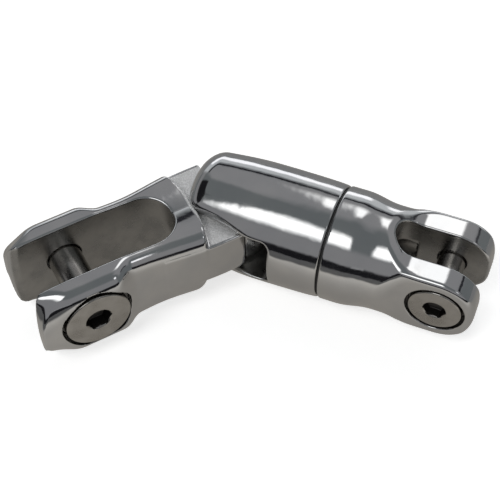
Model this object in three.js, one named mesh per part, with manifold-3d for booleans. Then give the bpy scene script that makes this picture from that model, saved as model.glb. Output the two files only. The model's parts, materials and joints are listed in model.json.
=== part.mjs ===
// An articulated anchor swivel for a boat's ground tackle: a wide fork for the anchor's shank, hinged to a
// round knuckle, and a narrow fork for the chain that turns freely on the knuckle's end. Polished stainless
// steel throughout. Millimetres, +Z up. The hinge axis is vertical, and +X runs along the knuckle to the chain.
import * as THREE from "three";
import { mergeVertices } from "three/addons/utils/BufferGeometryUtils.js";
import Module from "manifold-3d";

// Overall
const BODY_RADIUS = 17; // the round body on both sides of the swivel joint
const BARREL_RADIUS = 17.4; // the knuckle's widest place
const BEND_DEG = 50.6; // how far the hinge is folded as the part lies
const RUNNING_GAP = 0.3; // radial clearance round every pin and bolt
const FACE_GAP = 0.1; // clearance between flat faces square to X
const OVERSHOOT = 1; // how far a cutter runs past the face it opens
const ROUND_SEGMENTS = 40;
const CURVE_SEGMENTS = 8;

// Hinge
const HINGE_PIN = { radius: 6, bottom: -16.4, top: 13.2, chamfer: 0.6 };
const TONGUE_HALF_THICKNESS = 8.4;
const CHEEK_GAP_HALF = 8.7;
const TONGUE_EYE_RADIUS = 13.4;

// Knuckle, from its nose to the swivel joint
const NOSE_X = -12.5;
const SLOT_FLOOR_X = 17;
const KNUCKLE_END_X = 31.9;
const JOINT_EDGE = 0.6; // rounding of the two edges that meet at the swivel joint

// Swivel joint, from the knuckle to the bolt's head in the chain fork
const RING = { inner: 6.5, outer: 16.2, thickness: 0.5 };
const SWIVEL_STEM = { radius: 5, end: 19.5, socketEnd: 19 };
const SWIVEL_SEAT_X = 42.6;
const SWIVEL_WASHER = { outer: 6.1, thickness: 1 };
const SWIVEL_HEAD = { radius: 6, height: 4.8, socketAcross: 6, socketDepth: 2.6 };
const SEAT_BORE_RADIUS = 6.5;
const LOCK_PIN = { radius: 1.5, x: 25, bottom: -16.4, top: 8.5 };

// Chain fork
const CHAIN = {
  start: KNUCKLE_END_X + RING.thickness + 2 * FACE_GAP,
  boltX: 65.8,
  earRadius: 11.7,
  halfWidth: 12.9,
  gapHalf: 5.5,
  slotCentre: 55.2,
};
const CHAIN_BOLT = { radius: 4, head: 7.7, recess: 8.6, headHeight: 3.6, socketAcross: 6, socketDepth: 2.8 };

// Anchor fork, in its own frame: the hinge axis is its origin and its arms run to -X
const ANCHOR = {
  end: -67.1,
  boltX: -50.8,
  bossHalfWidth: 16.1,
  waistHalfWidth: 13.3,
  tongueHalfWidth: 15.2,
  halfHeight: 13.6,
  gapHalf: 8.6,
  slotCentre: -28.1,
  tongueShoulder: -3.6,
  edge: 5.4, // rounding of the fork's long edges
  landRadius: 40, // the raised land ends in this arc, just short of the knuckle's nose
  landEnd: -13.1,
};
const ANCHOR_BOLT = { radius: 5, head: 9.7, recess: 10.7, headHeight: 4, socketAcross: 7, socketDepth: 3.4 };

const wasm = await Module();
wasm.setup();

// --- from three.js geometry to solids and back ---

function solid(geometry) {
  const bare = geometry.clone();
  bare.deleteAttribute("normal");
  bare.deleteAttribute("uv");
  const merged = mergeVertices(bare, 1e-4);
  return new wasm.Manifold(
    new wasm.Mesh({
      numProp: 3,
      vertProperties: merged.attributes.position.array,
      triVerts: new Uint32Array(merged.index.array),
    }),
  );
}

function meshOf(name, body, material) {
  const { vertProperties, triVerts } = body.getMesh();
  const geometry = new THREE.BufferGeometry();
  geometry.setAttribute("position", new THREE.BufferAttribute(vertProperties, 3));
  geometry.setIndex(new THREE.BufferAttribute(triVerts, 1));
  geometry.computeVertexNormals();
  const mesh = new THREE.Mesh(geometry, material);
  mesh.name = name;
  return mesh;
}

const union = (...bodies) => bodies.reduce((whole, body) => whole.add(body));
const common = (...bodies) => bodies.reduce((whole, body) => whole.intersect(body));
const cut = (body, ...cutters) => cutters.reduce((rest, cutter) => rest.subtract(cutter), body);

// --- shapes ---

// A body turned about `axis`, from [radius, place along the axis] pairs that start and end on the axis.
function turned(profile, axis, segments = ROUND_SEGMENTS) {
  const points = profile.map(([radius, along]) => new THREE.Vector2(radius, along));
  const geometry = new THREE.LatheGeometry(points, segments);
  if (axis === "x") geometry.rotateZ(-Math.PI / 2);
  if (axis === "z") geometry.rotateX(Math.PI / 2);
  return solid(geometry);
}

function rod(radius, low, high, axis, chamfer = 0) {
  const profile = [
    [0, low],
    [radius - chamfer, low],
    [radius, low + chamfer],
    [radius, high - chamfer],
    [radius - chamfer, high],
    [0, high],
  ];
  const distinct = chamfer ? profile : [profile[0], profile[2], profile[3], profile[5]];
  return turned(distinct, axis);
}

// A closed outline, symmetric about its first coordinate's axis, from the half above that axis.
function mirroredShape(half) {
  const upper = half.getPoints(CURVE_SEGMENTS);
  const lower = upper.slice().reverse().map((p) => new THREE.Vector2(p.x, -p.y));
  const inner = lower.filter((p) => Math.abs(p.y) > 1e-6);
  return new THREE.Shape([...upper, ...inner]);
}

// An outline seen from above, made solid between two heights.
function planSlab(shape, halfHeight) {
  const geometry = new THREE.ExtrudeGeometry(shape, {
    depth: 2 * halfHeight,
    bevelEnabled: false,
    curveSegments: CURVE_SEGMENTS,
  });
  return solid(geometry.translate(0, 0, -halfHeight));
}

// An outline seen from the side, in X and Z, made solid across Y.
function sideSlab(shape, halfWidth) {
  const geometry = new THREE.ExtrudeGeometry(shape, {
    depth: 2 * halfWidth,
    bevelEnabled: false,
    curveSegments: CURVE_SEGMENTS,
  });
  return solid(geometry.translate(0, 0, -halfWidth).rotateX(Math.PI / 2));
}

// A bar along X with a rounded rectangular section.
function roundedBar(lowX, highX, halfY, halfZ, edge) {
  const section = new THREE.Shape();
  section.absarc(halfZ - edge, halfY - edge, edge, 0, Math.PI / 2);
  section.absarc(edge - halfZ, halfY - edge, edge, Math.PI / 2, Math.PI);
  section.absarc(edge - halfZ, edge - halfY, edge, Math.PI, 1.5 * Math.PI);
  section.absarc(halfZ - edge, edge - halfY, edge, 1.5 * Math.PI, 2 * Math.PI);
  const geometry = new THREE.ExtrudeGeometry(section, {
    depth: highX - lowX,
    bevelEnabled: false,
    curveSegments: 6,
  });
  return solid(geometry.rotateY(Math.PI / 2).translate(lowX, 0, 0));
}

function box(lowX, highX, halfY, halfZ) {
  const geometry = new THREE.BoxGeometry(highX - lowX, 2 * halfY, 2 * halfZ);
  return solid(geometry.translate((lowX + highX) / 2, 0, 0));
}

// A slot for a shackle or a link: open at one end, half round at the other, and right through in Z.
function jawSlot(centre, openEnd, gapHalf, halfZ) {
  const low = Math.min(centre, openEnd);
  const high = Math.max(centre, openEnd);
  const roundEnd = rod(gapHalf, -halfZ, halfZ, "z").translate([centre, 0, 0]);
  return union(box(low, high, gapHalf, halfZ), roundEnd);
}

function hexSocket(across, depth, axis) {
  const corner = across / Math.sqrt(3);
  return turned([[0, -OVERSHOOT], [corner, -OVERSHOOT], [corner, depth], [0, depth]], axis, 6);
}

// --- pieces of the knuckle ---

function knuckleBlank() {
  const profile = new THREE.Path();
  profile.moveTo(0, NOSE_X);
  profile.lineTo(9.5, NOSE_X + 0.3);
  profile.bezierCurveTo(13, NOSE_X + 1, 15.8, NOSE_X + 3.5, 16.5, -4);
  profile.bezierCurveTo(17, 2, BARREL_RADIUS, 5, BARREL_RADIUS, 11);
  profile.bezierCurveTo(BARREL_RADIUS, 19, BODY_RADIUS + 0.2, 25, BODY_RADIUS, KNUCKLE_END_X - JOINT_EDGE);
  profile.lineTo(BODY_RADIUS - JOINT_EDGE, KNUCKLE_END_X);
  profile.lineTo(0, KNUCKLE_END_X);
  const round = turned(profile.getPoints(CURVE_SEGMENTS).map((p) => [p.x, p.y]), "x");

  const half = new THREE.Path();
  half.moveTo(NOSE_X, 0);
  half.bezierCurveTo(NOSE_X, 7, -9, 10, -3, 11.1);
  half.bezierCurveTo(3, 11.9, 10, 12.9, SLOT_FLOOR_X, BARREL_RADIUS);
  half.lineTo(KNUCKLE_END_X + OVERSHOOT, BARREL_RADIUS);
  half.lineTo(KNUCKLE_END_X + OVERSHOOT, 0);
  return common(round, planSlab(mirroredShape(half), BARREL_RADIUS + OVERSHOOT));
}

function knuckle() {
  const slot = box(NOSE_X - OVERSHOOT, SLOT_FLOOR_X, BARREL_RADIUS + OVERSHOOT, CHEEK_GAP_HALF);
  const pinBore = rod(
    HINGE_PIN.radius + RUNNING_GAP, -BODY_RADIUS - OVERSHOOT, HINGE_PIN.top + RUNNING_GAP, "z");
  const stemSocket = rod(
    SWIVEL_STEM.radius + RUNNING_GAP, SWIVEL_STEM.socketEnd, KNUCKLE_END_X + OVERSHOOT, "x");
  const lockBore = rod(
    LOCK_PIN.radius + RUNNING_GAP, -BODY_RADIUS - OVERSHOOT, LOCK_PIN.top + RUNNING_GAP, "z",
  ).translate([LOCK_PIN.x, 0, 0]);
  return cut(knuckleBlank(), slot, pinBore, stemSocket, lockBore);
}

function hingePin() {
  return rod(HINGE_PIN.radius, HINGE_PIN.bottom, HINGE_PIN.top, "z", HINGE_PIN.chamfer);
}

function swivelBolt() {
  const headLow = SWIVEL_SEAT_X + SWIVEL_WASHER.thickness + 2 * FACE_GAP;
  const headHigh = headLow + SWIVEL_HEAD.height;
  const stem = rod(SWIVEL_STEM.radius, SWIVEL_STEM.end, headLow + OVERSHOOT, "x");
  const head = rod(SWIVEL_HEAD.radius, headLow, headHigh, "x", 0.6);
  const socket = hexSocket(SWIVEL_HEAD.socketAcross, SWIVEL_HEAD.socketDepth, "x");
  const facing = socket.rotate([0, 0, 180]).translate([headHigh, 0, 0]);
  const crossBore = rod(
    LOCK_PIN.radius + RUNNING_GAP, -BODY_RADIUS, BODY_RADIUS, "z").translate([LOCK_PIN.x, 0, 0]);
  return cut(union(stem, head), facing, crossBore);
}

function lockPin() {
  return rod(LOCK_PIN.radius, LOCK_PIN.bottom, LOCK_PIN.top, "z").translate([LOCK_PIN.x, 0, 0]);
}

function flatRing(inner, outer, low, thickness) {
  const bore = rod(inner, low - OVERSHOOT, low + thickness + OVERSHOOT, "x");
  return cut(rod(outer, low, low + thickness, "x"), bore);
}

function jointRing() {
  return flatRing(RING.inner, RING.outer, KNUCKLE_END_X + FACE_GAP, RING.thickness);
}

function swivelWasher() {
  const inner = SWIVEL_STEM.radius + RUNNING_GAP;
  return flatRing(inner, SWIVEL_WASHER.outer, SWIVEL_SEAT_X + FACE_GAP, SWIVEL_WASHER.thickness);
}

// --- pieces of the chain end ---

function chainForkBlank() {
  const { start, boltX, earRadius, halfWidth } = CHAIN;
  const end = boltX + earRadius;

  const plan = new THREE.Path();
  plan.moveTo(start - OVERSHOOT, 0);
  plan.lineTo(start - OVERSHOOT, BODY_RADIUS);
  plan.lineTo(start + 4, BODY_RADIUS);
  plan.bezierCurveTo(start + 9, BODY_RADIUS, start + 13, halfWidth + 0.2, start + 19, halfWidth);
  plan.lineTo(end - 6, halfWidth);
  plan.bezierCurveTo(end - 2, halfWidth, end, halfWidth - 1.5, end, halfWidth - 5);
  plan.lineTo(end, 0);

  const side = new THREE.Path();
  side.moveTo(start - OVERSHOOT, 0);
  side.lineTo(start - OVERSHOOT, BODY_RADIUS);
  side.lineTo(start + 4, BODY_RADIUS);
  side.bezierCurveTo(start + 9, BODY_RADIUS, start + 12, 12.6, start + 20, 12);
  side.lineTo(boltX - 4, earRadius - 0.1);
  side.absarc(boltX, 0, earRadius, Math.PI / 2, 0, true);

  const edge = new THREE.Path();
  edge.moveTo(0, start);
  edge.lineTo(BODY_RADIUS - JOINT_EDGE, start);
  edge.lineTo(BODY_RADIUS, start + JOINT_EDGE);
  edge.lineTo(BODY_RADIUS, start + 4);
  edge.bezierCurveTo(BODY_RADIUS, start + 9, 15.8, start + 12, 15.8, start + 17);
  edge.bezierCurveTo(15.8, start + 21, 17.2, start + 25, 17.2, start + 30);
  edge.lineTo(17.2, end + OVERSHOOT);
  edge.lineTo(0, end + OVERSHOOT);

  return common(
    planSlab(mirroredShape(plan), BODY_RADIUS + OVERSHOOT),
    sideSlab(mirroredShape(side), BODY_RADIUS + OVERSHOOT),
    turned(edge.getPoints(CURVE_SEGMENTS).map((p) => [p.x, p.y]), "x"),
  );
}

function chainFork() {
  const { start, boltX, earRadius, halfWidth, gapHalf, slotCentre } = CHAIN;
  const slot = jawSlot(slotCentre, boltX + earRadius + OVERSHOOT, gapHalf, BODY_RADIUS);
  const stemBore = rod(
    SWIVEL_STEM.radius + RUNNING_GAP, start - OVERSHOOT, SWIVEL_SEAT_X + OVERSHOOT, "x");
  const headBore = rod(SEAT_BORE_RADIUS, SWIVEL_SEAT_X, slotCentre, "x");
  return cut(chainForkBlank(), slot, stemBore, headBore, ...boltCutters(CHAIN_BOLT, boltX, halfWidth));
}

// --- pieces of the anchor end ---

function anchorForkBlank() {
  const fork = ANCHOR;
  const eyeAngle = Math.acos(fork.tongueShoulder / TONGUE_EYE_RADIUS);

  const plan = new THREE.Path();
  plan.moveTo(fork.end, 0);
  plan.lineTo(fork.end, fork.bossHalfWidth - 1.6);
  plan.lineTo(fork.end + 1, fork.bossHalfWidth - 0.6);
  plan.lineTo(fork.end + 8, fork.bossHalfWidth);
  plan.lineTo(fork.boltX + 5, fork.bossHalfWidth);
  plan.bezierCurveTo(
    fork.boltX + 9, fork.bossHalfWidth, fork.boltX + 11, fork.waistHalfWidth,
    fork.boltX + 17, fork.waistHalfWidth);
  plan.lineTo(fork.tongueShoulder, fork.tongueHalfWidth);
  plan.absarc(0, 0, TONGUE_EYE_RADIUS, eyeAngle, 0, true);
  const outline = mirroredShape(plan);

  const side = new THREE.Path();
  side.moveTo(fork.end, 0);
  side.lineTo(fork.end + 0.8, fork.halfHeight - 4);
  side.bezierCurveTo(fork.end + 1, fork.halfHeight - 1.6, fork.end + 3, fork.halfHeight - 0.5,
    fork.end + 9, fork.halfHeight);
  side.lineTo(0, fork.halfHeight);
  side.lineTo(0, 0);

  const land = rod(fork.landRadius, -fork.halfHeight, fork.halfHeight, "z");
  const raised = common(
    planSlab(outline, fork.halfHeight + OVERSHOOT),
    sideSlab(mirroredShape(side), BODY_RADIUS + OVERSHOOT),
    roundedBar(fork.end - OVERSHOOT, 0, fork.bossHalfWidth, fork.halfHeight, fork.edge),
    land.translate([fork.landEnd - fork.landRadius, 0, 0]),
  );
  const tongue = common(
    planSlab(outline, TONGUE_HALF_THICKNESS),
    box(fork.slotCentre, BODY_RADIUS, BODY_RADIUS, BODY_RADIUS),
  );
  return union(raised, tongue);
}

function anchorFork() {
  const { end, boltX, bossHalfWidth, gapHalf, slotCentre } = ANCHOR;
  const slot = jawSlot(slotCentre, end - OVERSHOOT, gapHalf, BODY_RADIUS);
  const eye = rod(HINGE_PIN.radius + RUNNING_GAP, -BODY_RADIUS, BODY_RADIUS, "z");
  return cut(anchorForkBlank(), slot, eye, ...boltCutters(ANCHOR_BOLT, boltX, bossHalfWidth));
}

// --- the two clevis bolts: a flat disc head in a recess on the -Y side, and a thread in the far wall ---

function boltCutters(bolt, x, halfWidth) {
  const hole = rod(bolt.radius + RUNNING_GAP, -halfWidth - OVERSHOOT, halfWidth + OVERSHOOT, "y");
  const recessFloor = -halfWidth + bolt.headHeight + RUNNING_GAP;
  const recess = rod(bolt.recess, -halfWidth - OVERSHOOT, recessFloor, "y");
  return [hole.translate([x, 0, 0]), recess.translate([x, 0, 0])];
}

function clevisBolt(bolt, x, halfWidth) {
  const headFace = -halfWidth;
  const headUnderside = headFace + bolt.headHeight;
  const shank = rod(bolt.radius, headUnderside - OVERSHOOT, halfWidth - 0.4, "y", 0.6);
  const head = rod(bolt.head, headFace, headUnderside, "y", 0.4);
  const socket = hexSocket(bolt.socketAcross, bolt.socketDepth, "y").translate([0, headFace, 0]);
  return cut(union(shank, head), socket).translate([x, 0, 0]);
}

// --- assembly ---

const polished = new THREE.MeshStandardMaterial({ color: 0xc9cccf, roughness: 0.08, metalness: 1 });
const machined = new THREE.MeshStandardMaterial({ color: 0xb4b2ad, roughness: 0.28, metalness: 1 });
const bearing = new THREE.MeshStandardMaterial({ color: 0x1c1d1f, roughness: 0.55, metalness: 0 });

const swivel = new THREE.Group();

swivel.add(meshOf("knuckle", knuckle(), polished));
swivel.add(meshOf("hinge_pin", hingePin(), machined));
swivel.add(meshOf("swivel_bolt", swivelBolt(), machined));
swivel.add(meshOf("swivel_lock_pin", lockPin(), machined));
swivel.add(meshOf("swivel_washer", swivelWasher(), bearing));
swivel.add(meshOf("joint_ring", jointRing(), bearing));
swivel.add(meshOf("chain_fork", chainFork(), polished));
swivel.add(meshOf("chain_bolt", clevisBolt(CHAIN_BOLT, CHAIN.boltX, CHAIN.halfWidth), machined));

const anchorEnd = new THREE.Group();
anchorEnd.rotation.z = THREE.MathUtils.degToRad(BEND_DEG);
anchorEnd.add(meshOf("anchor_fork", anchorFork(), polished));
anchorEnd.add(meshOf("anchor_bolt", clevisBolt(ANCHOR_BOLT, ANCHOR.boltX, ANCHOR.bossHalfWidth), machined));
swivel.add(anchorEnd);

// The part's origin is under the middle of its box, on the surface that it lies on.
const extent = new THREE.Box3().setFromObject(swivel, true);
const middle = extent.getCenter(new THREE.Vector3());
swivel.position.set(-middle.x, -middle.y, -extent.min.z);

export default swivel;
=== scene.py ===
import json
import math

import bpy
import numpy as np
from mathutils import Matrix, Vector

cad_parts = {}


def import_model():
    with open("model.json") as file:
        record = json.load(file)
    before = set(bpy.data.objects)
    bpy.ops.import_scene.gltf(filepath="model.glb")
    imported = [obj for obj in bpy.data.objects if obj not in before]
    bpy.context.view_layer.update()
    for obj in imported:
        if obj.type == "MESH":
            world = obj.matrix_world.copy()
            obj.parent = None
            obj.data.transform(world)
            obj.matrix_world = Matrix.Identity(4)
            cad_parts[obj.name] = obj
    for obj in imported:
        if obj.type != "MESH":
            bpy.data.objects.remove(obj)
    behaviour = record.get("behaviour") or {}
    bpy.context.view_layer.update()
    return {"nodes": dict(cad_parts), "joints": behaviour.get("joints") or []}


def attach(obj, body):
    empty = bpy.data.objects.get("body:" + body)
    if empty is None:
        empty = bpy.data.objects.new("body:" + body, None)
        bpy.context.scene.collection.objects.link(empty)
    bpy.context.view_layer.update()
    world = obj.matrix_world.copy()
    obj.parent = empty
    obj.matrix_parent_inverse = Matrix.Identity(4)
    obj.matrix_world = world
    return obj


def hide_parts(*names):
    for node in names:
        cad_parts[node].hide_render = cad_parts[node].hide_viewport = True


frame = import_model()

# An articulated anchor swivel in mirror-polished stainless steel. Each casting is an implicit surface, a
# function that is negative inside the metal, in millimetres in its own frame: the hinge axis is Z, and X runs
# along the piece. surface_net() turns it into a mesh, and piece() moves that into the row frame, in metres.

MM = 0.001
MACHINED_DEPTH = (0.3, 1.0)  # below a blank's skin, where cutter marks begin and are full

joints = {joint["name"]: joint for joint in frame["joints"]}
HINGE = np.array(joints["fold_hinge"]["pos_m"])
DRAW = joints["anchor_bolt_draw"]["axis"]  # square to the anchor fork
BEND = math.atan2(DRAW[0], -DRAW[1])  # the fold of the anchor fork, as the part lies

# Sizes in millimetres. A pair of X is a stretch over which a size changes, and half sizes are from the axis.
BODY_RADIUS = 17  # at the swivel joint
BARREL_RADIUS = 17.4  # at its widest
JOINT_EDGE = 0.5
BORE_EDGE = 0.3

KNUCKLE = {
    "nose": -12.4, "nose_bow": 120, "nose_edge": 5.2, "end": 31.95,
    "widest": 12, "taper_length": 20, "nose_taper": 0.9, "joint_taper": 0.35,
    "roll_start": 27.5, "roll_length": 120,
    "nose_half_width": 12.6, "flare": 7, "flare_run": (-14, 28), "flat_edge": 3,
    "gap": 8.7, "slot_floor": 17.0, "slot_corner": 2.5,
    "slot_rim": 1.0, "nose_rim": 2.6, "rim_run": (-2, 14), "stem_bore_end": 19.0,
}
HINGE_PIN = {"radius": 6.0, "bore": 6.3, "bottom": -16.4, "top": 13.2, "bore_top": 13.5, "dimple": 1.4}

CHAIN = {
    "start": 32.55, "bolt": 65.8, "ear": 11.7, "end": 76.9, "half_width": 12.9, "gap": 5.5,
    "slot_centre": 55.2, "seat": 42.6, "seat_bore": 6.5, "stem_bore": 5.3,
    "neck": 1.4, "neck_run": (36.5, 49), "shoulder": 2.1, "shoulder_run": (50, 61),
    "sweep_run": (42.3, 58), "sweep_height": 6.5, "sweep_width": 5.5,
    "end_edge": 3, "ear_edge": 1.3, "body_edge": 1.6,
}
CHAIN_BOLT = {
    "shank": 4.0, "bore": 4.3, "head": 7.7, "recess": 8.6, "head_height": 3.6, "across": 6.0,
    "socket_depth": 3.2, "pitch": 1.25,
}

# The end face of the anchor fork's arms reaches furthest at the level end_low. Names with top and low are for
# what differs above and below the middle: the arms' growth towards their end, and how round their edges are.
ANCHOR = {
    "end": -67.1, "end_low": -5.0, "end_radius": 97, "bolt": -50.8, "gap": 8.6, "slot_centre": -28.1,
    "boss": 16.1, "waist": 13.1, "tongue": 15.2, "boss_run": (-44.5, -36.5), "flare_run": (-37, -8),
    "height": 13.6, "dip": 0.8, "dip_run": (-44, -24),
    "crown_end": -54, "top_crown": -0.3, "low_crown": 0.45, "crown_length": 60,
    "inner_fall": 4, "inner_length": 90, "end_start": -55, "end_relief": 0.6,
    "edge": 5.4, "top_end_edge": 9.5, "low_end_edge": 12.5, "inner_end_edge": 2.2, "seam_edge": 0.8,
    "land_end": -13.1, "land_radius": 40.0, "top_land_edge": 0.6, "low_land_edge": 4.0,
    "tongue_height": 8.4, "shoulder": -3.6, "eye": 13.4, "top_tongue_edge": 0.8, "low_tongue_edge": 3.5,
    "jaw_corner": 3.0, "cast_run": (-14.5, -13.6), "cast_inset": 0.9, "cast_drop": 1.2,
    "cast_border": 0.4,
}
ANCHOR_BOLT = {
    "shank": 5.0, "bore": 5.3, "head": 9.7, "recess": 10.7, "head_height": 4.0, "across": 7.0,
    "socket_depth": 4.2, "pitch": 1.5,
}
THREAD_LENGTH = 8
THREAD_FLANK = 0.44  # the thread's depth over half its pitch
TIP_UNDER = 0.4  # from the far arm's face down to the bolt's tip
HEAD_GAP = 0.3  # under a bolt's head

SWIVEL_BOLT = {
    "stem": 5.0, "end": 19.5, "low": 43.8, "high": 48.6, "radius": 6.0, "across": 6.0, "socket_depth": 2.6,
}


# --- implicit shapes ---

def rounded_max(a, b, radius):
    """What is inside both a and b, with their common edge rounded to radius."""
    outside = np.hypot(np.maximum(a + radius, 0), np.maximum(b + radius, 0))
    return outside + np.minimum(np.maximum(a, b) + radius, 0) - radius


def rounded_min(a, b, radius):
    """What is inside a or b, with a fillet between them."""
    return -rounded_max(-a, -b, radius)


def cut(body, tool, edge):
    """body without tool, with the cut's rim rounded."""
    return rounded_max(body, -tool, edge)


def ease(x, start, end):
    """0 before start and 1 after end, with no break in slope or curvature."""
    t = np.clip((x - start) / (end - start), 0, 1)
    return t * t * t * (t * (6 * t - 15) + 10)


def slab(u, low, high):
    """What lies between low and high."""
    return np.maximum(low - u, u - high)


def hexagon(u, v, across):
    """A regular hexagon of that width across its flats."""
    u, v = np.abs(u), np.abs(v)
    return np.maximum(v, 0.5 * v + math.sqrt(0.75) * u) - across / 2


def jaw(x, y, centre, gap, side):
    """A slot that runs from a half-round end out along side, -1 or 1, times X."""
    return np.where((x - centre) * side > 0, np.abs(y) - gap, np.hypot(x - centre, y) - gap)


def bolt_holes(body, x, y, z, place, half_width, bolt):
    """body with the bolt's bore through both arms, and the recess for its head on the -Y side."""
    across = np.hypot(x - place, z)
    floor = -half_width + bolt["head_height"] + HEAD_GAP
    body = cut(body, across - bolt["bore"], BORE_EDGE)
    recess = np.maximum(across - bolt["recess"], y - floor)
    return cut(body, recess, BORE_EDGE)


def anchor_end(x, z):
    """The slightly bowed end face of the anchor fork's arms."""
    return ANCHOR["end"] + (z - ANCHOR["end_low"]) ** 2 / (2 * ANCHOR["end_radius"]) - x


def anchor_end_share(x):
    """0 along the anchor fork, growing to 1 at the end of its arms."""
    return 1 - ease(x, ANCHOR["end"], ANCHOR["end_start"])


def anchor_side(x, y):
    """The anchor fork's sides, which are widest at the bolt and wider again at the tongue."""
    part = ANCHOR
    width = part["boss"] + (part["waist"] - part["boss"]) * ease(x, *part["boss_run"])
    width = width + (part["tongue"] - part["waist"]) * ease(x, *part["flare_run"])
    return np.abs(y) - width + part["end_relief"] * anchor_end_share(x)


def anchor_arms(x, y, z):
    """The raised part of the anchor fork, from the arms' end to the curved land in front of the knuckle."""
    part = ANCHOR
    above = z > 0
    height = part["height"] - part["dip"] * ease(x, *part["dip_run"])
    crown = np.where(above, part["top_crown"], part["low_crown"])
    height = height + crown * np.maximum(part["crown_end"] - x, 0) ** 2 / part["crown_length"]
    inner = np.maximum(part["gap"] + part["inner_fall"] - np.abs(y), 0)
    level = np.abs(z) - (height - inner ** 2 / part["inner_length"])

    end_edge = np.where(above, part["top_end_edge"], part["low_end_edge"])
    edge = part["edge"] + (end_edge - part["edge"]) * anchor_end_share(x)
    section = rounded_max(anchor_side(x, y), level, edge)
    outer = ease(np.abs(y), part["gap"], part["boss"] - 2)
    edge = part["inner_end_edge"] + (end_edge - part["inner_end_edge"]) * outer
    end = rounded_max(anchor_end(x, z), level, edge)
    arms = rounded_max(section, end, part["seam_edge"])
    land = np.hypot(x - part["land_end"] + part["land_radius"], y) - part["land_radius"]
    return rounded_max(arms, land, np.where(above, part["top_land_edge"], part["low_land_edge"]))


def anchor_tongue(x, y, z):
    """The lower part of the anchor fork, which ends in the round eye on the hinge pin."""
    part = ANCHOR
    root = rounded_max(anchor_side(x, y), x - part["shoulder"], 0.7)
    plan = rounded_min(root, np.hypot(x, y) - part["eye"], 0.5)
    edge = np.where(z > 0, part["top_tongue_edge"], part["low_tongue_edge"])
    tongue = rounded_max(plan, np.abs(z) - part["tongue_height"], edge)
    return np.maximum(tongue, part["slot_centre"] - x)


def anchor_blank(x, y, z):
    """The anchor fork's casting before its slot and bores are cut."""
    return rounded_min(anchor_arms(x, y, z), anchor_tongue(x, y, z), ANCHOR["seam_edge"])


def unpolished(x, y, z):
    """1 on the flat tops of the tongue and on the step up from them, where a wheel can't reach."""
    part = ANCHOR
    border = part["cast_border"]
    across = part["tongue"] - part["cast_inset"] - np.abs(y)
    up = part["height"] - part["cast_drop"] - np.abs(z)
    top = ease(np.abs(z), part["tongue_height"] - part["cast_inset"], part["tongue_height"] - border)
    return ease(x, *part["cast_run"]) * ease(np.minimum(across, up), 0, border) * top


def anchor_fork(x, y, z):
    part = ANCHOR
    body = anchor_blank(x, y, z)
    body = cut(body, jaw(x, y, part["slot_centre"], part["gap"], -1), 0.7)
    corner = rounded_max(anchor_end(x, z), part["gap"] - np.abs(y), part["jaw_corner"])
    body = np.where(x < part["bolt"], np.maximum(body, corner), body)
    body = bolt_holes(body, x, y, z, part["bolt"], part["boss"], ANCHOR_BOLT)
    return cut(body, np.hypot(x, y) - HINGE_PIN["bore"], 0.4)


def knuckle_blank(x, y, z):
    """The knuckle's casting before its slot and bores are cut."""
    part = KNUCKLE
    from_widest = (x - part["widest"]) / part["taper_length"]
    taper = np.where(from_widest > 0, part["joint_taper"], part["nose_taper"])
    radius = BARREL_RADIUS - taper * from_widest ** 2
    radius = radius - np.maximum(x - part["roll_start"], 0) ** 2 / part["roll_length"]
    round_body = np.hypot(y, z) - radius
    dome = part["nose"] + (y * y + z * z) / part["nose_bow"] - x
    width = part["nose_half_width"] + part["flare"] * ease(x, *part["flare_run"])
    flattened = rounded_max(round_body, np.abs(y) - width, part["flat_edge"])
    return rounded_max(flattened, dome, part["nose_edge"])


def knuckle(x, y, z):
    part = KNUCKLE
    body = knuckle_blank(x, y, z)
    slot = rounded_max(np.abs(z) - part["gap"], x - part["slot_floor"], part["slot_corner"])
    body = cut(body, slot, part["slot_rim"] + part["nose_rim"] * (1 - ease(x, *part["rim_run"])))
    body = rounded_max(body, x - part["end"], JOINT_EDGE)
    pin = np.hypot(x, y) - HINGE_PIN["bore"]
    body = cut(body, np.maximum(pin, z - HINGE_PIN["bore_top"]), BORE_EDGE)
    stem = np.hypot(y, z) - CHAIN["stem_bore"]
    return cut(body, np.maximum(stem, part["stem_bore_end"] - x), BORE_EDGE)


def chain_blank(x, y, z):
    """The chain fork's casting before its slot and bores are cut."""
    part = CHAIN
    radius = BODY_RADIUS - part["neck"] * ease(x, *part["neck_run"])
    radius = radius + part["shoulder"] * ease(x, *part["shoulder_run"])
    round_body = np.hypot(y, z) - radius
    sweep = 1 - ease(x, *part["sweep_run"])
    height = part["ear"] + part["sweep_height"] * sweep
    level = np.where(
        x < part["bolt"], np.abs(z) - height, np.hypot(x - part["bolt"], z) - part["ear"])
    side = np.abs(y) - (part["half_width"] + part["sweep_width"] * sweep)
    side = rounded_max(side, x - part["end"], part["end_edge"])
    ears = rounded_max(side, level, part["ear_edge"])
    return rounded_max(round_body, ears, part["body_edge"])


def chain_fork(x, y, z):
    part = CHAIN
    body = rounded_max(chain_blank(x, y, z), part["start"] - x, JOINT_EDGE)
    seat = np.maximum(np.hypot(y, z) - part["seat_bore"], slab(x, part["seat"], part["slot_centre"]))
    body = cut(body, seat, BORE_EDGE)
    body = cut(body, jaw(x, y, part["slot_centre"], part["gap"], 1), 0.6)
    body = bolt_holes(body, x, y, z, part["bolt"], part["half_width"], CHAIN_BOLT)
    return cut(body, np.hypot(y, z) - part["stem_bore"], BORE_EDGE)


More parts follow.
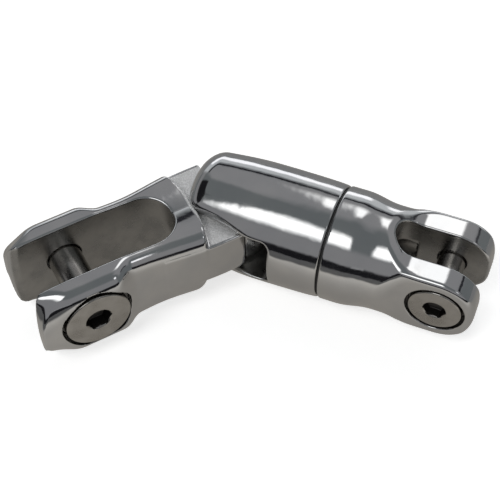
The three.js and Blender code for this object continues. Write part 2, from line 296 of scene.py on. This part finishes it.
def bolt_blank(bolt, place, half_width):
    """The field of a bolt with no socket: a disc head on the -Y side, a shank, and a thread at its tip."""
    thread_start = half_width - THREAD_LENGTH
    tip = half_width - TIP_UNDER
    under_head = -half_width + bolt["head_height"]

    def field(x, y, z):
        radius = np.hypot(x - place, z)
        turn = np.arctan2(z, x - place) / (2 * math.pi)
        phase = (y / bolt["pitch"] - turn) % 1
        threaded = ease(y, thread_start, thread_start + 1)
        groove = THREAD_FLANK * bolt["pitch"] * np.abs(phase - 0.5) * threaded
        shank = rounded_max(radius - bolt["shank"] + groove, slab(y, -half_width + 1, tip), 0.6)
        chamfer = (radius - bolt["shank"] + y - tip + 1.0) * math.sqrt(0.5)
        head = rounded_max(radius - bolt["head"], slab(y, -half_width, under_head), 0.5)
        return rounded_min(head, np.maximum(shank, chamfer), 0.4)

    return field


def clevis_bolt(bolt, place, half_width):
    """The bolt's own field, with a hexagon socket that has a chamfered mouth and a drilled floor."""
    blank = bolt_blank(bolt, place, half_width)

    def field(x, y, z):
        radius = np.hypot(x - place, z)
        floor = -half_width + bolt["socket_depth"]
        socket = np.maximum(hexagon(x - place, z, bolt["across"]), y - floor - 0.9 + 0.35 * radius)
        mouth = radius - bolt["across"] / math.sqrt(3) + (y + half_width)
        return cut(blank(x, y, z), np.minimum(socket, np.maximum(mouth, y - floor)), 0.12)

    return field


def hinge_pin(x, y, z):
    radius = np.hypot(x, y)
    body = rounded_max(radius - HINGE_PIN["radius"], slab(z, HINGE_PIN["bottom"], HINGE_PIN["top"]), 0.7)
    dimple = radius + z - HINGE_PIN["bottom"] - HINGE_PIN["dimple"]
    return cut(body, dimple, 0.2)


def swivel_bolt(x, y, z):
    part = SWIVEL_BOLT
    radius = np.hypot(y, z)
    stem = rounded_max(radius - part["stem"], slab(x, part["end"], part["low"] + 1), 0.6)
    head = rounded_max(radius - part["radius"], slab(x, part["low"], part["high"]), 0.8)
    floor = part["high"] - part["socket_depth"]
    socket = np.maximum(hexagon(y, z, part["across"]), floor + 0.3 * radius - 0.9 - x)
    return cut(rounded_min(stem, head, 0.3), socket, 0.15)


# --- from implicit shapes to meshes ---

def gradient(field, points, reach=0.02):
    """The field's slope at each point, by central differences."""
    slope = np.empty_like(points)
    for axis in range(3):
        offset = np.zeros(3)
        offset[axis] = reach
        ahead = field(*(points + offset).T)
        behind = field(*(points - offset).T)
        slope[:, axis] = (ahead - behind) / (2 * reach)
    return slope


def surface_net(field, low, high, step):
    """Vertices, quads and normals of the field's surface, one vertex in each grid cell that it crosses."""
    lines = [np.arange(low[axis], high[axis] + step, step) for axis in range(3)]
    value = field(*np.meshgrid(*lines, indexing="ij"))
    inside = value < 0
    cells = tuple(size - 1 for size in value.shape)
    count = np.zeros(cells, int)
    corners = [(i, j, k) for i in (0, 1) for j in (0, 1) for k in (0, 1)]
    for i, j, k in corners:
        count += inside[i:i + cells[0], j:j + cells[1], k:k + cells[2]]
    active = (count > 0) & (count < 8)
    number = np.full(cells, -1)
    number[active] = np.arange(active.sum())
    cell = np.argwhere(active)

    total = np.zeros((len(cell), 3))
    crossings = np.zeros(len(cell))
    for axis in range(3):
        along = np.eye(3, dtype=int)[axis]
        for corner in corners:
            if corner[axis]:
                continue
            first = cell + corner
            a = value[tuple(first.T)]
            b = value[tuple((first + along).T)]
            crossed = (a < 0) != (b < 0)
            share = np.where(crossed, a / np.where(crossed, a - b, 1), 0)
            place = first + share[:, None] * along
            total += place * crossed[:, None]
            crossings += crossed
    points = np.array(low) + step * total / crossings[:, None]
    for _ in range(4):  # each turn pulls the vertices closer to the surface, along its slope
        slope = gradient(field, points)
        steepness = np.maximum((slope ** 2).sum(1), 0.25)
        move = slope * (field(*points.T) / steepness)[:, None]
        points -= np.clip(move, -0.4 * step, 0.4 * step)

    quads = []
    for axis in range(3):
        across, up = (axis + 1) % 3, (axis + 2) % 3
        ahead = np.roll(inside, -1, axis)
        edges = np.argwhere(inside != ahead)
        fits = (edges[:, axis] < cells[axis]) & (edges[:, across] > 0) & (edges[:, up] > 0)
        fits &= (edges[:, across] < cells[across]) & (edges[:, up] < cells[up])
        edges = edges[fits]
        ring = []
        for back_across, back_up in ((1, 1), (0, 1), (0, 0), (1, 0)):
            near = edges.copy()
            near[:, across] -= back_across
            near[:, up] -= back_up
            ring.append(number[tuple(near.T)])
        ring = np.stack(ring, 1)
        outward = inside[tuple(edges.T)]
        ring[~outward] = ring[~outward][:, ::-1]
        quads.append(ring)
    normals = gradient(field, points)
    normals /= np.linalg.norm(normals, axis=1)[:, None]
    return points, np.concatenate(quads), normals


def turned(points, turn):
    """Points or normals, turned about the hinge's axis."""
    c, s = math.cos(turn), math.sin(turn)
    return points @ np.array([[c, s, 0], [-s, c, 0], [0, 0, 1]])


def add_value(mesh, name, values):
    """One number on each of the mesh's vertices, for its material."""
    mesh.attributes.new(name, "FLOAT", "POINT").data.foreach_set("value", values.astype(np.float32))


def piece(name, field, low, high, step, turn, body, slot, blank=None, cast=None):
    """A mesh of the field between low and high, which replaces the CAD node of that name. Its "machined" is 1
    where a cutter went through the blank's skin, and its "cast" is 1 where the metal was left unpolished."""
    points, quads, normals = surface_net(field, low, high, step)
    mesh = bpy.data.meshes.new(name)
    mesh.vertices.add(len(points))
    mesh.vertices.foreach_set("co", (turned(points, turn) * MM + HINGE).ravel())
    mesh.loops.add(quads.size)
    mesh.loops.foreach_set("vertex_index", quads.ravel())
    mesh.polygons.add(len(quads))
    mesh.polygons.foreach_set("loop_start", np.arange(0, quads.size, 4))
    mesh.polygons.foreach_set("use_smooth", np.ones(len(quads), bool))
    mesh.update(calc_edges=True)
    mesh.validate()
    depth = -blank(*points.T) if blank else np.ones(len(points))
    add_value(mesh, "machined", ease(depth, *MACHINED_DEPTH))
    if cast:
        add_value(mesh, "cast", cast(*points.T))
    mesh.normals_split_custom_set_from_vertices(turned(normals, turn))
    mesh.materials.append(materials[slot])
    shape = bpy.data.objects.new(name + "_finished", mesh)
    bpy.context.scene.collection.objects.link(shape)
    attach(shape, body)
    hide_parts(name)


# --- materials ---

class Nodes:
    """A node tree built up one node at a time."""

    def __init__(self, tree):
        self.tree = tree

    def node(self, kind, settings=(), **inputs):
        made = self.tree.nodes.new("ShaderNode" + kind)
        for key, value in dict(settings).items():
            setattr(made, key, value)
        for key, value in inputs.items():
            self.feed(made.inputs[key.replace("_", " ")], value)
        return made

    def feed(self, socket, value):
        if isinstance(value, bpy.types.NodeSocket):
            self.tree.links.new(value, socket)
        else:
            socket.default_value = value

    def math(self, operation, *values):
        made = self.node("Math", {"operation": operation})
        for socket, value in zip(made.inputs, values):
            self.feed(socket, value)
        return made.outputs[0]

    def place(self, stretch=(1, 1, 1)):
        """Object coordinates in millimetres, scaled by stretch."""
        where = self.node("TexCoord").outputs["Object"]
        made = self.node("Mapping", Vector=where, Scale=[1000 * s for s in stretch])
        return made.outputs["Vector"]

    def noise(self, stretch, detail=2.0, rough=0.5):
        made = self.node("TexNoise", Vector=self.place(stretch), Scale=1.0, Detail=detail, Roughness=rough)
        return made.outputs["Fac"]

    def spread(self, value, low, high, out_low, out_high):
        """value, eased from low...high to out_low...out_high."""
        made = self.node("MapRange", {"interpolation_type": "SMOOTHSTEP"}, Value=value, From_Min=low,
                         From_Max=high, To_Min=out_low, To_Max=out_high)
        return made.outputs["Result"]

    def share(self, value, low, high):
        """value, eased from low...high to 0...1."""
        return self.spread(value, low, high, 0.0, 1.0)

    def colours(self, share, a, b):
        made = self.node("Mix", {"data_type": "RGBA"})
        self.feed(made.inputs["Factor"], share)
        self.feed(made.inputs[6], a)
        self.feed(made.inputs[7], b)
        return made.outputs[2]

    def numbers(self, share, a, b):
        made = self.node("Mix", {"data_type": "FLOAT"})
        self.feed(made.inputs["Factor"], share)
        self.feed(made.inputs[2], a)
        self.feed(made.inputs[3], b)
        return made.outputs[0]

    def bump(self, height):
        """The surface's normal, tilted by a height in millimetres."""
        return self.node("Bump", Height=height, Distance=MM, Strength=1.0).outputs["Normal"]


class Material(Nodes):
    """A new material, whose nodes feed its one Principled shader."""

    def __init__(self, name):
        self.material = bpy.data.materials.new(name)
        self.material.use_nodes = True
        super().__init__(self.material.node_tree)
        self.shader = self.tree.nodes["Principled BSDF"]

    def finish(self, **inputs):
        for key, value in inputs.items():
            self.feed(self.shader.inputs[key.replace("_", " ")], value)
        return self.material


def polished_casting():
    """Mirror-polished skin with faint polishing streaks, satin cutter marks inside the slots and bores,
    coloured darker there as painted shade, and the bare grain of the casting where it was left unpolished,
    coloured near white as painted light and speckled with painted glints."""
    made = Material("polished_casting")
    machined = made.node("Attribute", {"attribute_name": "machined"}).outputs["Fac"]
    cast = made.node("Attribute", {"attribute_name": "cast"}).outputs["Fac"]
    streaks = made.noise((0.4, 4.0, 4.0), 3.0, 0.6)
    haze = made.noise((0.09, 0.09, 0.09), 2.0)
    grain = made.noise((2.2, 2.2, 2.2), 4.0, 0.65)
    clouds = made.noise((0.16, 0.16, 0.16), 3.0)
    orange_peel = made.noise((0.22, 0.22, 0.22), 2.0, 0.4)

    skin_rough = made.math("ADD", made.spread(streaks, 0.35, 0.75, 0.055, 0.10),
                           made.spread(haze, 0.45, 0.75, 0.0, 0.05))
    satin_rough = made.spread(clouds, 0.3, 0.7, 0.24, 0.34)
    skin = made.colours(made.share(haze, 0.3, 0.7), (0.60, 0.605, 0.61, 1), (0.66, 0.66, 0.655, 1))
    # Painted shade: the cut surfaces in the slots, bores and recesses are coloured much darker than the skin.
    satin_with_painted_shade = made.colours(made.share(clouds, 0.3, 0.7), (0.30, 0.30, 0.295, 1), (0.42, 0.415, 0.40, 1))
    # Painted light: the unpolished tops are coloured near white, speckled with painted glints.
    grain_with_painted_glints = made.colours(made.share(grain, 0.4, 0.62), (0.80, 0.80, 0.79, 1), (1.0, 1.0, 1.0, 1))

    streak_height = made.math("MULTIPLY", streaks, 0.0007)
    ripple = made.math("ADD", streak_height, made.math("MULTIPLY", orange_peel, 0.06))
    relief = made.numbers(machined, ripple, made.math("MULTIPLY", grain, 0.012))
    relief = made.numbers(cast, relief, made.math("MULTIPLY", grain, 0.16))
    colour = made.colours(cast, made.colours(machined, skin, satin_with_painted_shade), grain_with_painted_glints)
    rough = made.numbers(cast, made.numbers(machined, skin_rough, satin_rough), 0.42)
    metal = made.math("SUBTRACT", 1.0, made.math("MULTIPLY", cast, 0.55))
    return made.finish(Base_Color=colour, Metallic=metal, Roughness=rough, Normal=made.bump(relief))


def bolt_steel():
    """Turned and lightly polished steel, with a brushed grain, darker smudges, and painted shade in the
    sockets.
    """
    made = Material("bolt_steel")
    socket = made.node("Attribute", {"attribute_name": "machined"}).outputs["Fac"]
    grain = made.noise((1.5, 9.0, 9.0), 3.0, 0.6)
    smudges = made.noise((0.2, 0.2, 0.2), 3.0)
    colour = made.colours(made.share(smudges, 0.35, 0.7), (0.50, 0.485, 0.46, 1), (0.40, 0.385, 0.36, 1))
    # Painted shade: the hex sockets are coloured near black.
    colour = made.colours(socket, colour, (0.11, 0.105, 0.10, 1))
    rough = made.math("ADD", made.spread(grain, 0.3, 0.7, 0.15, 0.24),
                      made.spread(smudges, 0.3, 0.7, 0.0, 0.06))
    rough = made.numbers(socket, rough, 0.42)
    height = made.math("MULTIPLY", grain, 0.003)
    return made.finish(Base_Color=colour, Metallic=1.0, Roughness=rough, Normal=made.bump(height))


def pin_steel():
    """Ground steel."""
    made = Material("pin_steel")
    grain = made.noise((6.0, 6.0, 0.8), 3.0, 0.6)
    colour = made.colours(grain, (0.50, 0.49, 0.48, 1), (0.60, 0.60, 0.59, 1))
    rough = made.spread(grain, 0.3, 0.7, 0.14, 0.28)
    height = made.math("MULTIPLY", grain, 0.003)
    return made.finish(Base_Color=colour, Metallic=1.0, Roughness=rough, Normal=made.bump(height))


def bearing_plastic():
    """Dark acetal, very slightly mottled."""
    made = Material("bearing_plastic")
    mottle = made.noise((1.2, 1.2, 1.2), 3.0)
    colour = made.colours(mottle, (0.012, 0.012, 0.013, 1), (0.035, 0.034, 0.033, 1))
    rough = made.spread(mottle, 0.3, 0.7, 0.4, 0.6)
    height = made.math("MULTIPLY", mottle, 0.01)
    return made.finish(Base_Color=colour, Roughness=rough, Normal=made.bump(height))


materials = {
    "polished_casting": polished_casting(),
    "bolt_steel": bolt_steel(),
    "pin_steel": pin_steel(),
    "bearing_plastic": bearing_plastic(),
}


# --- the object ---

CASTING_STEP = 0.42

piece("anchor_fork", anchor_fork, (-68, -18, -15), (15, 18, 15), CASTING_STEP, BEND,
      "anchor_fork", "polished_casting", anchor_blank, unpolished)
piece("knuckle", knuckle, (-15, -18.5, -18.5), (33.5, 18.5, 18.5), CASTING_STEP, 0,
      "knuckle", "polished_casting", knuckle_blank)
piece("chain_fork", chain_fork, (31.5, -18.5, -18.5), (79, 18.5, 18.5), CASTING_STEP, 0,
      "chain_fork", "polished_casting", chain_blank)

anchor_bolt = (ANCHOR_BOLT, ANCHOR["bolt"], ANCHOR["boss"])
chain_bolt = (CHAIN_BOLT, CHAIN["bolt"], CHAIN["half_width"])
piece("anchor_bolt", clevis_bolt(*anchor_bolt), (-61.5, -17.5, -11), (-40, 17.5, 11), 0.3, BEND,
      "anchor_bolt", "bolt_steel", bolt_blank(*anchor_bolt))
piece("chain_bolt", clevis_bolt(*chain_bolt), (57, -14.5, -9.5), (75, 14.5, 9.5), 0.28, 0,
      "chain_bolt", "bolt_steel", bolt_blank(*chain_bolt))
piece("hinge_pin", hinge_pin, (-7, -7, -17.7), (7, 7, 14.5), 0.35, 0, "knuckle", "pin_steel")
piece("swivel_bolt", swivel_bolt, (18.5, -7, -7), (51.5, 7, 7), 0.3, 0, "knuckle", "pin_steel")

KEPT_FROM_CAD = {
    "swivel_lock_pin": "pin_steel",
    "swivel_washer": "bearing_plastic",
    "joint_ring": "bearing_plastic",
}
for name, slot in KEPT_FROM_CAD.items():
    mesh = frame["nodes"][name].data
    mesh.materials.clear()
    mesh.materials.append(materials[slot])


# --- stage: camera, floor and lights ---

AIM = Vector(HINGE) + Vector((0.0102, -0.0118, 0))  # what the camera and the lamps look at
CAMERA_AZIMUTH = math.radians(-66.51)
CAMERA_ELEVATION = math.radians(53.08)
CAMERA_ROLL = math.radians(-1.88)
CAMERA_DISTANCE = 0.3237
LENS = 80.2


def direction(azimuth, elevation):
    level = math.cos(elevation)
    return Vector((level * math.cos(azimuth), level * math.sin(azimuth), math.sin(elevation)))


def aimed(place, target, roll):
    """The matrix of a camera or light at place that looks at target."""
    back = (place - target).normalized()
    right = Vector((0, 0, 1)).cross(back).normalized()
    up = back.cross(right)
    turn = Matrix((right, up, back)).transposed() @ Matrix.Rotation(roll, 3, "Z")
    return Matrix.Translation(place) @ turn.to_4x4()


def camera():
    data = bpy.data.cameras.new("camera")
    data.lens = LENS
    data.sensor_width = 36
    data.clip_start = 0.01
    eye = bpy.data.objects.new("camera", data)
    bpy.context.scene.collection.objects.link(eye)
    away = direction(CAMERA_AZIMUTH, CAMERA_ELEVATION)
    eye.matrix_world = aimed(AIM + away * CAMERA_DISTANCE, AIM, CAMERA_ROLL)
    bpy.context.scene.camera = eye


# Azimuth and elevation in degrees, distance, width, height, power, and roll in degrees.
LAMPS = {
    "key": (-113, 57, 1.2, 0.46, 0.32, 2.9, -10),
    "back": (86, 53, 1.2, 0.2, 0.3, 1.1, 0),
}


def softbox(name, azimuth, elevation, distance, width, height, power, roll):
    """A lamp for what is matte. The steel doesn't reflect it, but the soft patches of the room instead."""
    data = bpy.data.lights.new(name, "AREA")
    data.shape = "RECTANGLE"
    data.size = width
    data.size_y = height
    data.energy = power
    lamp = bpy.data.objects.new(name, data)
    lamp.visible_glossy = False
    bpy.context.scene.collection.objects.link(lamp)
    away = direction(math.radians(azimuth), math.radians(elevation))
    lamp.matrix_world = aimed(AIM + away * distance, AIM, math.radians(roll))


def floor():
    """A matte sheet. The camera sees it nearly white. The steel sees it glow instead with a painted
    reflection: a beige sheet, lightest a little way in front of the object and darker next to it as a painted
    shadow of the object, then nearly black further out, and grey behind."""
    reach = 3.0
    corners = [(-reach, -reach, 0), (reach, -reach, 0), (reach, reach, 0), (-reach, reach, 0)]
    mesh = bpy.data.meshes.new("floor")
    mesh.from_pydata(corners, [], [(0, 1, 2, 3)])
    made = Material("pale_floor")
    east, north, _ = made.node("SeparateXYZ", Vector=made.place((MM, MM, MM))).outputs

    def border(slant, start, end):
        """0 before start and 1 after end, in metres along Y, with the border's line slanted by slant."""
        return made.share(made.math("ADD", north, made.math("MULTIPLY", east, slant)), start, end)

    # Painted shadow: the beige glow darkens next to the object. The glow that only reflections see is
    # painted.
    beige = made.colours(border(-0.3, -0.095, 0.01), (0.46, 0.44, 0.41, 1), (0.23, 0.215, 0.195, 1))
    painted_reflection = made.colours(border(0.45, -0.13, -0.08), (0.03, 0.03, 0.032, 1), beige)
    painted_reflection = made.colours(border(0.0, 0.035, 0.11), painted_reflection, (0.15, 0.15, 0.152, 1))
    direct = made.node("LightPath").outputs["Is Camera Ray"]
    glow = made.colours(direct, painted_reflection, (0.66, 0.66, 0.66, 1))
    shade = made.colours(direct, (0.12, 0.118, 0.112, 1), (0.82, 0.82, 0.81, 1))
    made.finish(Base_Color=shade, Roughness=0.7, Emission_Color=glow, Emission_Strength=1.0)
    mesh.materials.append(made.material)
    ground = bpy.data.objects.new("floor", mesh)
    bpy.context.scene.collection.objects.link(ground)


# Patches of the room that the steel reflects: azimuth and elevation of the middle, half sizes and the soft
# border, all in degrees, then a colour.
ROOM = (
    (-90, 26, 75, 12, 12, (0.27, 0.27, 0.28)),
    (-90, 0, 80, 11, 5, (0.012, 0.012, 0.014)),
    (-62, 13, 16, 1.2, 1.5, (0.32, 0.32, 0.33)),
    (80, 52, 60, 14, 16, (0.30, 0.30, 0.31)),
    (85, 30, 60, 1.5, 2, (0.02, 0.02, 0.025)),
    (190, 37, 24, 17, 6, (0.012, 0.012, 0.014)),
    (180, 14, 30, 5, 4, (0.26, 0.26, 0.27)),
    (100, 13, 45, 8, 6, (0.62, 0.64, 0.66)),
    (112, 8, 20, 3, 4, (1.5, 1.5, 1.55)),
    (-106, 58, 17, 5, 12, (1.9, 1.9, 1.9)),
    (92, 54, 6, 5, 11, (1.6, 1.6, 1.6)),
    (-13, 45, 4, 2, 5, (1.5, 1.5, 1.55)),
)
ROOM_TINT = (0.165, 0.178, 0.184)


def world():
    """The room that the steel reflects: a plain tint with the patches of ROOM laid over it in turn."""
    sky = bpy.data.worlds.new("studio")
    bpy.context.scene.world = sky
    sky.use_nodes = True
    made = Nodes(sky.node_tree)
    heading = made.node("TexCoord").outputs["Generated"]
    x, y, z = made.node("SeparateXYZ", Vector=heading).outputs
    azimuth = made.math("DEGREES", made.math("ARCTAN2", y, x))
    elevation = made.math("DEGREES", made.math("ARCSINE", z))
    colour = (*ROOM_TINT, 1)
    for middle, height, half_width, half_height, border, tint in ROOM:
        aside = made.math("WRAP", made.math("SUBTRACT", azimuth, middle), 180.0, -180.0)
        across = made.spread(made.math("ABSOLUTE", aside), half_width, half_width + border, 1.0, 0.0)
        off = made.math("ABSOLUTE", made.math("SUBTRACT", elevation, height))
        up = made.spread(off, half_height, half_height + border, 1.0, 0.0)
        colour = made.colours(made.math("MULTIPLY", across, up), colour, (*tint, 1))
    made.feed(sky.node_tree.nodes["Background"].inputs["Color"], colour)


camera()
floor()
world()
for name, lamp in LAMPS.items():
    softbox(name, *lamp)
bpy.context.scene.view_settings.view_transform = "Standard"
